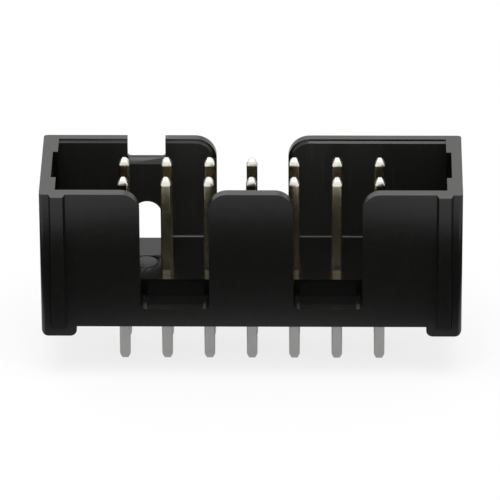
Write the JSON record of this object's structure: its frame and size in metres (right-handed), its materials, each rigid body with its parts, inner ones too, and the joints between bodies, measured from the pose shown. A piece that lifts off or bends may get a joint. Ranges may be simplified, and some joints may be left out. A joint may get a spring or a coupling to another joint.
{
  "type": "idc box header",
  "caption": "Shrouded two-row pin header for a flat-cable socket, with an open-top walled housing, key slot, front openings, feet and square posts through the floor.",
  "frame": {"origin": "centre of the post field on the board surface, which is the plane of the feet", "axes": "+Z away from the board, towards the plug; +X along the rows of posts, away from the first-post notch; +Y to the wall with the key slot"},
  "size_m": [0.025, 0.0081, 0.0123],
  "materials": {
    "housing_plastic": "black moulded plastic, satin, faint moulding texture",
    "contact_metal": "gold plate on the mating ends, matte tin plate on the solder tails"
  },
  "bodies": {
    "root": {"housing": "housing_plastic", "pin_01": "contact_metal", "pin_02": "contact_metal", "pin_03": "contact_metal", "pin_04": "contact_metal", "pin_05": "contact_metal", "pin_06": "contact_metal", "pin_07": "contact_metal", "pin_08": "contact_metal", "pin_09": "contact_metal", "pin_10": "contact_metal", "pin_11": "contact_metal", "pin_12": "contact_metal", "pin_13": "contact_metal", "pin_14": "contact_metal"}
  },
  "joints": []
}
